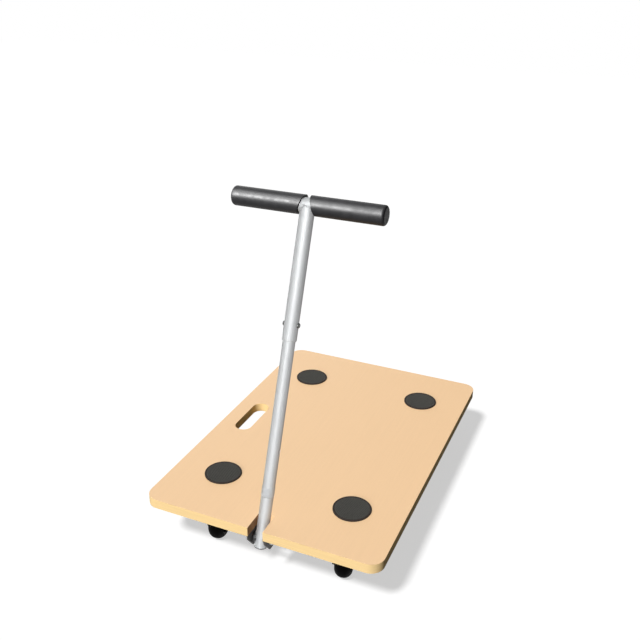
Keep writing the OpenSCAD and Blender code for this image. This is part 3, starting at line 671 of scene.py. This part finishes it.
def wood_screw_tree(material):
    """Pan-head screws with a cross recess, one on each point, pointing up."""
    tree, given, result = growth_tree("wood_screws", (
        ("Diameter", "NodeSocketFloat"), ("Length", "NodeSocketFloat"),
        ("Recess Width", "NodeSocketFloat"), ("Recess Length", "NodeSocketFloat"),
        ("Recess Depth", "NodeSocketFloat")))

    def times(a, b, kind="MULTIPLY"):
        return add(tree, "ShaderNodeMath", {0: a, 1: b}, operation=kind).outputs[0]

    def moved(part, z):
        shift = add(tree, "ShaderNodeCombineXYZ", {"Z": z})
        return add(tree, "GeometryNodeTransform",
                   {"Geometry": part.outputs[0], "Translation": shift.outputs[0]})

    d = given.outputs["Diameter"]
    dome = add(tree, "GeometryNodeMeshCone",
               {"Vertices": 32, "Radius Top": d, "Radius Bottom": times(d, 0.7),
                "Depth": times(d, 0.25)})
    dome = moved(dome, times(d, -0.55))
    skirt = add(tree, "GeometryNodeMeshCylinder",
                {"Vertices": 32, "Radius": d, "Depth": times(d, 0.3)})
    skirt = moved(skirt, times(d, -0.15))
    head = add(tree, "GeometryNodeMeshBoolean", operation="UNION", solver="EXACT")
    tree.links.new(dome.outputs[0], head.inputs[1])
    tree.links.new(skirt.outputs[0], head.inputs[1])
    arms = []
    for first, second in (("Recess Length", "Recess Width"), ("Recess Width", "Recess Length")):
        size = add(tree, "ShaderNodeCombineXYZ",
                   {"X": given.outputs[first], "Y": given.outputs[second],
                    "Z": times(given.outputs["Recess Depth"], 2.0)})
        arm = add(tree, "GeometryNodeMeshCube", {"Size": size.outputs[0]})
        arms.append(moved(arm, times(d, -0.55)))
    cut = add(tree, "GeometryNodeMeshBoolean", {0: head.outputs[0]}, operation="DIFFERENCE",
              solver="EXACT")
    for arm in arms:
        tree.links.new(arm.outputs[0], cut.inputs[1])
    straight = times(given.outputs["Length"], d, "SUBTRACT")
    shank = add(tree, "GeometryNodeMeshCylinder",
                {"Vertices": 16, "Radius": times(d, 0.5), "Depth": straight})
    shank = moved(shank, times(straight, 0.5))
    tip = add(tree, "GeometryNodeMeshCone",
              {"Vertices": 16, "Radius Top": 0.0002, "Radius Bottom": times(d, 0.5),
               "Depth": d})
    tip = moved(tip, straight)
    whole = add(tree, "GeometryNodeJoinGeometry")
    for part in (cut, shank, tip):
        tree.links.new(part.outputs[0], whole.inputs[0])
    # Each screw was driven home at its own turn
    turn = add(tree, "FunctionNodeRandomValue", {"Seed": 4}, data_type="FLOAT")
    turn.inputs[2].default_value = 0.0
    turn.inputs[3].default_value = math.pi
    twist = add(tree, "ShaderNodeCombineXYZ", {"Z": turn.outputs[1]})
    screws = add(tree, "GeometryNodeInstanceOnPoints",
                 {"Points": given.outputs["Geometry"], "Instance": whole.outputs[0],
                  "Rotation": twist.outputs[0]})
    real = add(tree, "GeometryNodeRealizeInstances", {"Geometry": screws.outputs[0]})
    skin = add(tree, "GeometryNodeSetMaterial", {"Geometry": real.outputs[0]})
    skin.inputs["Material"].default_value = material
    tree.links.new(skin.outputs[0], result.inputs[0])
    return tree


def weld_tree(material):
    """A rippled bead along the seam of two equal tubes that meet at a right angle."""
    tree, given, result = growth_tree("weld_bead", (
        ("Tube Radius", "NodeSocketFloat"), ("Bead", "NodeSocketFloat"),
        ("Ripples", "NodeSocketInt"), ("Lean", "NodeSocketFloat"),
        ("Centre", "NodeSocketVector")))

    def sum_of(a, b, kind="MULTIPLY"):
        return add(tree, "ShaderNodeMath", {0: a, 1: b}, operation=kind).outputs[0]

    path = add(tree, "GeometryNodeCurvePrimitiveCircle",
               {"Resolution": 480, "Radius": given.outputs["Tube Radius"]})
    place = add(tree, "GeometryNodeInputPosition")
    split = add(tree, "ShaderNodeSeparateXYZ", {0: place.outputs[0]})
    drop = add(tree, "ShaderNodeMath", {0: split.outputs["X"]}, operation="ABSOLUTE")
    seam = add(tree, "ShaderNodeCombineXYZ",
               {"X": split.outputs["X"], "Y": split.outputs["Y"],
                "Z": sum_of(drop.outputs[0], -1.0)})
    path = add(tree, "GeometryNodeSetPosition",
               {"Geometry": path.outputs[0], "Position": seam.outputs[0]})
    along = add(tree, "GeometryNodeSplineParameter")
    wave = sum_of(sum_of(along.outputs["Factor"], given.outputs["Ripples"]), 2 * math.pi)
    wave = add(tree, "ShaderNodeMath", {0: wave}, operation="SINE")
    width = add(tree, "ShaderNodeMapRange",
                {"Value": wave.outputs[0], "From Min": -1.0, "From Max": 1.0,
                 "To Min": 0.86, "To Max": 1.08})
    bead = sum_of(given.outputs["Bead"], width.outputs[0])
    path = add(tree, "GeometryNodeSetCurveRadius",
               {"Curve": path.outputs[0], "Radius": bead})
    profile = add(tree, "GeometryNodeCurvePrimitiveCircle", {"Resolution": 10, "Radius": 1.0})
    tube = add(tree, "GeometryNodeCurveToMesh",
               {"Curve": path.outputs[0], "Profile Curve": profile.outputs[0]})
    if "Scale" in tube.inputs:
        tree.links.new(bead, tube.inputs["Scale"])
    lean = add(tree, "ShaderNodeCombineXYZ", {"X": sum_of(given.outputs["Lean"], -1.0)})
    tube = add(tree, "GeometryNodeTransform",
               {"Geometry": tube.outputs[0], "Rotation": lean.outputs[0],
                "Translation": given.outputs["Centre"]})
    real = add(tree, "GeometryNodeRealizeInstances", {"Geometry": tube.outputs[0]})
    skin = add(tree, "GeometryNodeSetMaterial", {"Geometry": real.outputs[0]})
    skin.inputs["Material"].default_value = material
    tree.links.new(skin.outputs[0], result.inputs[0])
    return tree


# Operators


def arc(centre, radius, start, end, steps):
    return [(centre[0] + radius * math.cos(math.radians(start + (end - start) * i / steps)),
             centre[1] + radius * math.sin(math.radians(start + (end - start) * i / steps)))
            for i in range(steps + 1)]


class DOLLY_OT_board(bpy.types.Operator):
    """Cuts the board with its notch and carrying slot, and eases its edges"""

    bl_idname = "dolly.board"
    bl_label = "Board"

    def execute(self, context):
        s = context.scene.dolly_board
        x, y, r, n, c = s.width / 2, s.length / 2, s.corner, s.notch_width / 2, s.notch_corner
        outline = arc((x - r, -y + r), r, -90, 0, 16) + arc((x - r, y - r), r, 0, 90, 16)
        outline += arc((-x + r, y - r), r, 90, 180, 16) + arc((-x + r, -y + r), r, 180, 270, 16)
        outline += [(-n, -y)] + arc((-n + c, NOTCH_BACK - c), c, 180, 90, 6)
        outline += arc((n - c, NOTCH_BACK - c), c, 90, 0, 6) + [(n, -y)]
        middle, w = s.slot_centre, s.slot_width / 2
        reach = s.slot_length / 2 - w
        slot = arc((middle[0], middle[1] + reach), w, 0, 180, 24)
        slot += arc((middle[0], middle[1] - reach), w, 180, 360, 24)
        work = bmesh.new()
        rings = []
        for loop in (outline, slot):
            verts = [work.verts.new((px, py, BOARD_LOW.z)) for px, py in loop]
            rings += [work.edges.new((verts[i - 1], verts[i])) for i in range(len(verts))]
        flat = bmesh.ops.triangle_fill(work, use_beauty=True, use_dissolve=False, edges=rings)
        faces = [f for f in flat["geom"] if isinstance(f, bmesh.types.BMFace)]
        raised_part = bmesh.ops.extrude_face_region(work, geom=faces)["geom"]
        tops = [v for v in raised_part if isinstance(v, bmesh.types.BMVert)]
        bmesh.ops.translate(work, verts=tops, vec=(0, 0, s.thickness))
        bmesh.ops.recalc_face_normals(work, faces=work.faces)
        rims = [e for e in work.edges if len(e.link_faces) == 2
                and sum(abs(f.normal.z) > 0.9 for f in e.link_faces) == 1]
        bmesh.ops.bevel(work, geom=rims, offset=s.arris, segments=2, affect="EDGES",
                        profile=0.5, clamp_overlap=True)
        mesh = bpy.data.meshes.new("board")
        work.to_mesh(mesh)
        work.free()
        board = new_object("board", mesh)
        mesh.materials.append(beech_face(s.face_colour))
        mesh.materials.append(beech_edge("sealed_routed_edge", s.edge_colour))
        # The third material is the notch walls' painted shade
        mesh.materials.append(beech_edge("notch_painted_shade", s.notch_shade_colour))
        for face in mesh.polygons:
            inside = abs(face.center.x) < n + 0.0001 and face.center.y < NOTCH_BACK + 0.0001
            # The notch's side walls take the painted shade; its back wall and corners take the face's
            # colour
            wall = inside and abs(face.normal.x) > 0.9
            flat = abs(face.normal.z) > 0.99 or inside and not wall
            face.material_index = 0 if flat else 2 if wall else 1
        smooth(board, 18)
        for face in mesh.polygons:
            face.use_smooth = face.material_index > 0
        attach(board, "deck")
        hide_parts("deck_board")
        return {"FINISHED"}


class DOLLY_OT_pads(bpy.types.Operator):
    """Lays the four studded grip pads on the board"""

    bl_idname = "dolly.pads"
    bl_label = "Grip pads"

    def execute(self, context):
        s = context.scene.dolly_pads
        names = ["pad_front_left", "pad_front_right", "pad_rear_left", "pad_rear_right"]
        places = []
        for name in names:
            low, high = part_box(name)
            places.append(((low.x + high.x) / 2, (low.y + high.y) / 2, low.z))
        # The second rubber, for the rims, is darker as painted shade
        tree = stud_pad_tree(pad_rubber("moulded_grip_rubber", s.colour),
                             pad_rubber("rubber_rim_painted_shade", s.rim_shade_colour))
        pads = grow(spots("grip_pads", places), tree, {
            "Diameter": s.diameter, "Thickness": s.thickness, "Rim": s.rim, "Bevel": 0.0007,
            "Stud Pitch": s.stud_pitch, "Stud Height": s.stud_height})
        smooth(pads, 25)
        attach(pads, "deck")
        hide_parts(*names)
        return {"FINISHED"}


class DOLLY_OT_screws(bpy.types.Operator):
    """Drives the wood screws of the casters and the hinge bracket"""

    bl_idname = "dolly.screws"
    bl_label = "Wood screws"

    def execute(self, context):
        s = context.scene.dolly_fasteners
        # The head is 0.55 of the shank's diameter high, and its seat is the screw's origin
        places, length = [], 0
        for node in ("caster_screws", "bracket_screws"):
            for low, high in island_boxes(node):
                seat = low.z + 0.55 * s.diameter
                places.append(((low.x + high.x) / 2, (low.y + high.y) / 2, seat))
                length = high.z - seat
        tree = wood_screw_tree(bare_metal("black_zinc_plate", "#6E6E70", 0.34, 0.12))
        screws = grow(spots("wood_screws", places), tree, {
            "Diameter": s.diameter, "Length": length, "Recess Width": s.recess_width,
            "Recess Length": s.recess_length, "Recess Depth": s.recess_depth})
        smooth(screws, 30)
        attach(screws, "deck")
        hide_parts("caster_screws", "bracket_screws")
        return {"FINISHED"}


class DOLLY_OT_hinge(bpy.types.Operator):
    """Finishes the hinge bracket, its bolt and nut, the bushes and the plug"""

    bl_idname = "dolly.hinge"
    bl_label = "Hinge"

    def execute(self, context):
        dress(painted_steel("grey_black_enamel", "#53514E", 0.42, 900.0), "hinge_bracket")
        zinc = bare_metal("bright_zinc_plate", "#C3C6C9", 0.3, 0.1)
        dress(zinc, "pivot_bolt", "pivot_nut")
        nylon = moulded_plastic("black_nylon", "#20201F", 0.42, 1.53, 1800.0)
        dress(nylon, "pivot_bushes", "tube_guide")
        dress(moulded_plastic("black_polyethylene", "#1C1C1B", 0.5, 1.51, 1500.0), "tube_plug")
        return {"FINISHED"}


class DOLLY_OT_handle(bpy.types.Operator):
    """Finishes the telescopic tubes and the grips, and lays the weld bead"""

    bl_idname = "dolly.handle"
    bl_label = "Handle"

    def execute(self, context):
        s = context.scene.dolly_handle
        silver = silver_lacquer(s.tube_colour, s.lean)
        dress(silver, "lower_tube", "upper_tube", "crossbar")
        dress(moulded_plastic("silver_grey_polyamide", "#BFC2C4", 0.36, 1.53, 1500.0),
              "guide_ring")
        self.springs(bare_metal("blued_spring_steel", "#8E9196", 0.32, 0.1), s)
        dress(bare_metal("black_nickel_plate", "#5C5D5B", 0.26, 0.06),
              "snap_button_left", "snap_button_right")
        dress(foam_grip(s.grip_colour), "grip_left", "grip_right")
        low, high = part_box("crossbar")
        centre = (low + high) / 2
        tree = weld_tree(silver)
        weld = grow(spots("weld_bead", [(0, 0, 0)]), tree, {
            "Tube Radius": s.tube_diameter / 2, "Bead": s.bead, "Ripples": s.ripples,
            "Lean": s.lean, "Centre": centre})
        smooth(weld, 60)
        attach(weld, "handle")
        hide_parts("tee_weld")
        return {"FINISHED"}

    def springs(self, steel, s):
        """The V spring cut into two legs, one on each side"""
        for side, name in ((-1, "left"), (1, "right")):
            work = bmesh.new()
            work.from_mesh(NODES["button_spring"].data)
            bmesh.ops.remove_doubles(work, verts=work.verts, dist=1e-6)
            bmesh.ops.bisect_plane(work, geom=work.verts[:] + work.edges[:] + work.faces[:],
                                   plane_co=(0, 0, 0), plane_no=(side, 0, 0),
                                   clear_inner=True)
            bmesh.ops.holes_fill(work, edges=[e for e in work.edges if e.is_boundary])
            bmesh.ops.recalc_face_normals(work, faces=work.faces)
            mesh = bpy.data.meshes.new("spring_leg_" + name)
            work.to_mesh(mesh)
            work.free()
            leg = new_object("spring_leg_" + name, mesh)
            mesh.materials.append(steel)
            smooth(leg, 30)
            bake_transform(leg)
            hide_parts("button_spring")


class DOLLY_OT_casters(bpy.types.Operator):
    """Finishes the four casters, from mounting plate to tyre"""

    bl_idname = "dolly.casters"
    bl_label = "Casters"

    def execute(self, context):
        heading = context.scene.dolly_fasteners.heading
        black = painted_steel("black_stove_enamel", "#121211", 0.45, 1100.0)
        zinc = bare_metal("dull_zinc_plate", "#A9ACAF", 0.36, 0.12)
        balls = bare_metal("ground_ball_steel", "#C2C3C5", 0.12, 0.04)
        hub = moulded_plastic("black_polypropylene", "#121212", 0.5, 1.49, 1400.0)
        tyre = tyre_rubber(heading)
        for w in WHEELS:
            dress(black, "caster_plate_" + w, "caster_fork_" + w)
            dress(zinc, "caster_kingpin_" + w, "caster_axle_" + w, "caster_nut_" + w)
            dress(balls, "caster_balls_" + w)
            dress(hub, "wheel_hub_" + w)
            dress(tyre, "tyre_" + w)
        return {"FINISHED"}


class DOLLY_OT_studio(bpy.types.Operator):
    """Sets up the floor, the lamps and the camera"""

    bl_idname = "dolly.studio"
    bl_label = "Studio"

    def execute(self, context):
        s = context.scene.dolly_studio
        scene = context.scene
        scene.view_settings.view_transform = "Standard"
        data = bpy.data.cameras.new("camera")
        data.lens = s.lens
        data.sensor_width = 36.0
        camera = new_object("camera", data)
        camera.location = s.camera_place
        camera.rotation_euler = s.camera_turn
        scene.camera = camera
        self.world(scene, s.ambient)
        floor = self.floor(s.shadow_level)
        self.flag()
        key = self.lamp("key", s.key_from, s.key_strength, s.key_softness)
        # The pole and its grips throw no shadow on the board
        weld = bpy.data.objects["weld_bead"]
        legs = [bpy.data.objects["spring_leg_" + side] for side in ("left", "right")]
        clear = self.linked("clear", frame_objects("pole", "handle", "button_left",
                                                   "button_right") + [weld] + legs, "EXCLUDE")
        grips = [NODES["grip_left"], NODES["grip_right"]]
        tubes = [NODES[name] for name in ("lower_tube", "upper_tube", "crossbar", "guide_ring")]
        tubes.append(weld)
        key.light_linking.blocker_collection = clear
        key.light_linking.receiver_collection = self.linked("not_handle", grips + tubes,
                                                            "EXCLUDE")
        # Low and frontal: it reaches the notched edge, but not the floor, the tubes or the grips
        fill = self.lamp("fill", (-0.2, -1.0, 0.3), s.fill_strength, math.radians(16))
        fill.light_linking.blocker_collection = clear
        fill.light_linking.receiver_collection = self.linked(
            "not_floor_or_handle", grips + tubes + [floor], "EXCLUDE")
        # The tubes are lit from further right than the board, which rounds them evenly
        pole = self.lamp("pole", (0.13, -0.81, 0.57), s.pole_strength, math.radians(25))
        pole.light_linking.blocker_collection = clear
        pole.light_linking.receiver_collection = self.linked("tubes", tubes, "INCLUDE")
        # The grips have a lamp of their own, a little above them, for their soft shine
        front = self.lamp("front", (-0.493, -0.746, 0.448), s.grip_strength, math.radians(10))
        front.light_linking.receiver_collection = self.linked("grips", grips, "INCLUDE")
        # A wider and weaker one from higher up spreads that shine towards their tops
        glow = self.lamp("glow", (-0.493, -0.42, 0.76), s.glow_strength, math.radians(36))
        glow.light_linking.receiver_collection = front.light_linking.receiver_collection
        back = self.lamp("back", (-0.6, 0.75, 0.2), s.back_strength, math.radians(40))
        back.light_linking.receiver_collection = self.linked("not_floor", [floor], "EXCLUDE")
        return {"FINISHED"}

    def lamp(self, name, source, strength, softness):
        data = bpy.data.lights.new(name, "SUN")
        data.energy = strength
        data.angle = softness
        lamp = new_object(name, data)
        lamp.rotation_euler = Vector(source).to_track_quat("Z", "Y").to_euler()
        return lamp

    def linked(self, name, members, state):
        """A collection that a lamp leaves out, or that it alone works on."""
        group = bpy.data.collections.new(name)
        for member in members:
            group.objects.link(member)
        for entry in group.collection_objects:
            entry.light_linking.link_state = state
        return group

    def flag(self):
        """Two black walls, seen only in reflections, that edge the tubes' right side"""
        mesh = bpy.data.meshes.new("flag")
        mesh.from_pydata([(1.6, -0.6, -0.2), (1.6, 3.2, -0.2), (1.6, 3.2, 1.7),
                          (1.6, -0.6, 1.7), (-1.1, 3.2, -0.2), (-1.1, 3.2, 1.7)], [],
                         [(0, 1, 2, 3), (1, 4, 5, 2)])
        card = new_object("flag", mesh)
        material = bpy.data.materials.new("black_cloth")
        material.use_nodes = True
        material.node_tree.nodes.clear()
        cloth = add(material.node_tree, "ShaderNodeBsdfDiffuse",
                    {"Color": (0.01, 0.01, 0.01, 1)})
        add(material.node_tree, "ShaderNodeOutputMaterial", {"Surface": cloth.outputs[0]})
        mesh.materials.append(material)
        card.visible_camera = False
        card.visible_diffuse = False
        card.visible_shadow = False
        card.visible_transmission = False

    def seen(self, tree):
        """1 for the rays that should find the plain white background."""
        path = add(tree, "ShaderNodeLightPath")
        both = add(tree, "ShaderNodeMath",
                   {0: path.outputs["Is Camera Ray"], 1: path.outputs["Is Glossy Ray"]},
                   operation="MAXIMUM")
        return add(tree, "ShaderNodeMath",
                   {0: both.outputs[0], 1: path.outputs["Is Transmission Ray"]},
                   operation="MAXIMUM").outputs[0]

    def world(self, scene, ambient):
        world = bpy.data.worlds.new("studio")
        scene.world = world
        world.use_nodes = True
        tree = world.node_tree
        tree.nodes.clear()
        dim = add(tree, "ShaderNodeBackground", {"Color": linear("#FFFFFF"),
                                                 "Strength": ambient})
        white = add(tree, "ShaderNodeBackground", {"Color": linear("#FFFFFF"),
                                                   "Strength": 1.0})
        mix = add(tree, "ShaderNodeMixShader",
                  {0: self.seen(tree), 1: dim.outputs[0], 2: white.outputs[0]})
        add(tree, "ShaderNodeOutputWorld", {"Surface": mix.outputs[0]})

    def floor(self, level):
        mesh = bpy.data.meshes.new("floor")
        mesh.from_pydata([(-6, -6, 0), (6, -6, 0), (6, 6, 0), (-6, 6, 0)], [], [(0, 1, 2, 3)])
        floor = new_object("floor", mesh)
        material = bpy.data.materials.new("white_studio_floor")
        material.use_nodes = True
        tree = material.node_tree
        tree.nodes.clear()
        # What the camera sees: a glow of the shadow's grey plus the light that falls on it
        glow = add(tree, "ShaderNodeEmission", {"Color": linear("#FFFFFF"), "Strength": level})
        pale = add(tree, "ShaderNodeBsdfDiffuse", {"Color": (0.58, 0.58, 0.58, 1)})
        shown = add(tree, "ShaderNodeAddShader", {0: glow.outputs[0], 1: pale.outputs[0]})
        # What bounces on to the object stays weak, as from a distant floor
        weak = add(tree, "ShaderNodeBsdfDiffuse", {"Color": (0.07, 0.07, 0.07, 1)})
        mix = add(tree, "ShaderNodeMixShader",
                  {0: self.seen(tree), 1: weak.outputs[0], 2: shown.outputs[0]})
        add(tree, "ShaderNodeOutputMaterial", {"Surface": mix.outputs[0]})
        mesh.materials.append(material)
        return floor


class DOLLY_PT_panel(bpy.types.Panel):
    """Lists the dolly's settings and its steps"""

    bl_idname = "DOLLY_PT_panel"
    bl_label = "Platform Dolly"
    bl_space_type = "VIEW_3D"
    bl_region_type = "UI"
    bl_category = "Dolly"

    def draw(self, context):
        for group, steps in STEPS:
            box = self.layout.box()
            settings = getattr(context.scene, group, None)
            if settings is not None:
                for name in settings.bl_rna.properties.keys():
                    if name not in ("rna_type", "name"):
                        box.prop(settings, name)
            for step in steps:
                box.operator(step)


GROUPS = {
    "dolly_studio": DollyStudioSettings,
    "dolly_board": DollyBoardSettings,
    "dolly_pads": DollyPadSettings,
    "dolly_fasteners": DollyFastenerSettings,
    "dolly_handle": DollyHandleSettings,
}
STEPS = (
    ("dolly_board", ("dolly.board",)),
    ("dolly_pads", ("dolly.pads",)),
    ("dolly_fasteners", ("dolly.screws", "dolly.hinge")),
    ("dolly_handle", ("dolly.handle",)),
    ("", ("dolly.casters",)),
    ("dolly_studio", ("dolly.studio",)),
)
OPERATORS = (DOLLY_OT_board, DOLLY_OT_pads, DOLLY_OT_screws, DOLLY_OT_hinge,
             DOLLY_OT_handle, DOLLY_OT_casters, DOLLY_OT_studio)


def register():
    for name, group in GROUPS.items():
        bpy.utils.register_class(group)
        setattr(bpy.types.Scene, name, bpy.props.PointerProperty(type=group))
    for operator in OPERATORS:
        bpy.utils.register_class(operator)
    bpy.utils.register_class(DOLLY_PT_panel)


def unregister():
    bpy.utils.unregister_class(DOLLY_PT_panel)
    for operator in reversed(OPERATORS):
        bpy.utils.unregister_class(operator)
    for name, group in GROUPS.items():
        delattr(bpy.types.Scene, name)
        bpy.utils.unregister_class(group)


def main():
    register()
    for _, steps in STEPS:
        for step in steps:
            family, name = step.split(".")
            getattr(getattr(bpy.ops, family), name)()


if __name__ == "__main__":
    main()
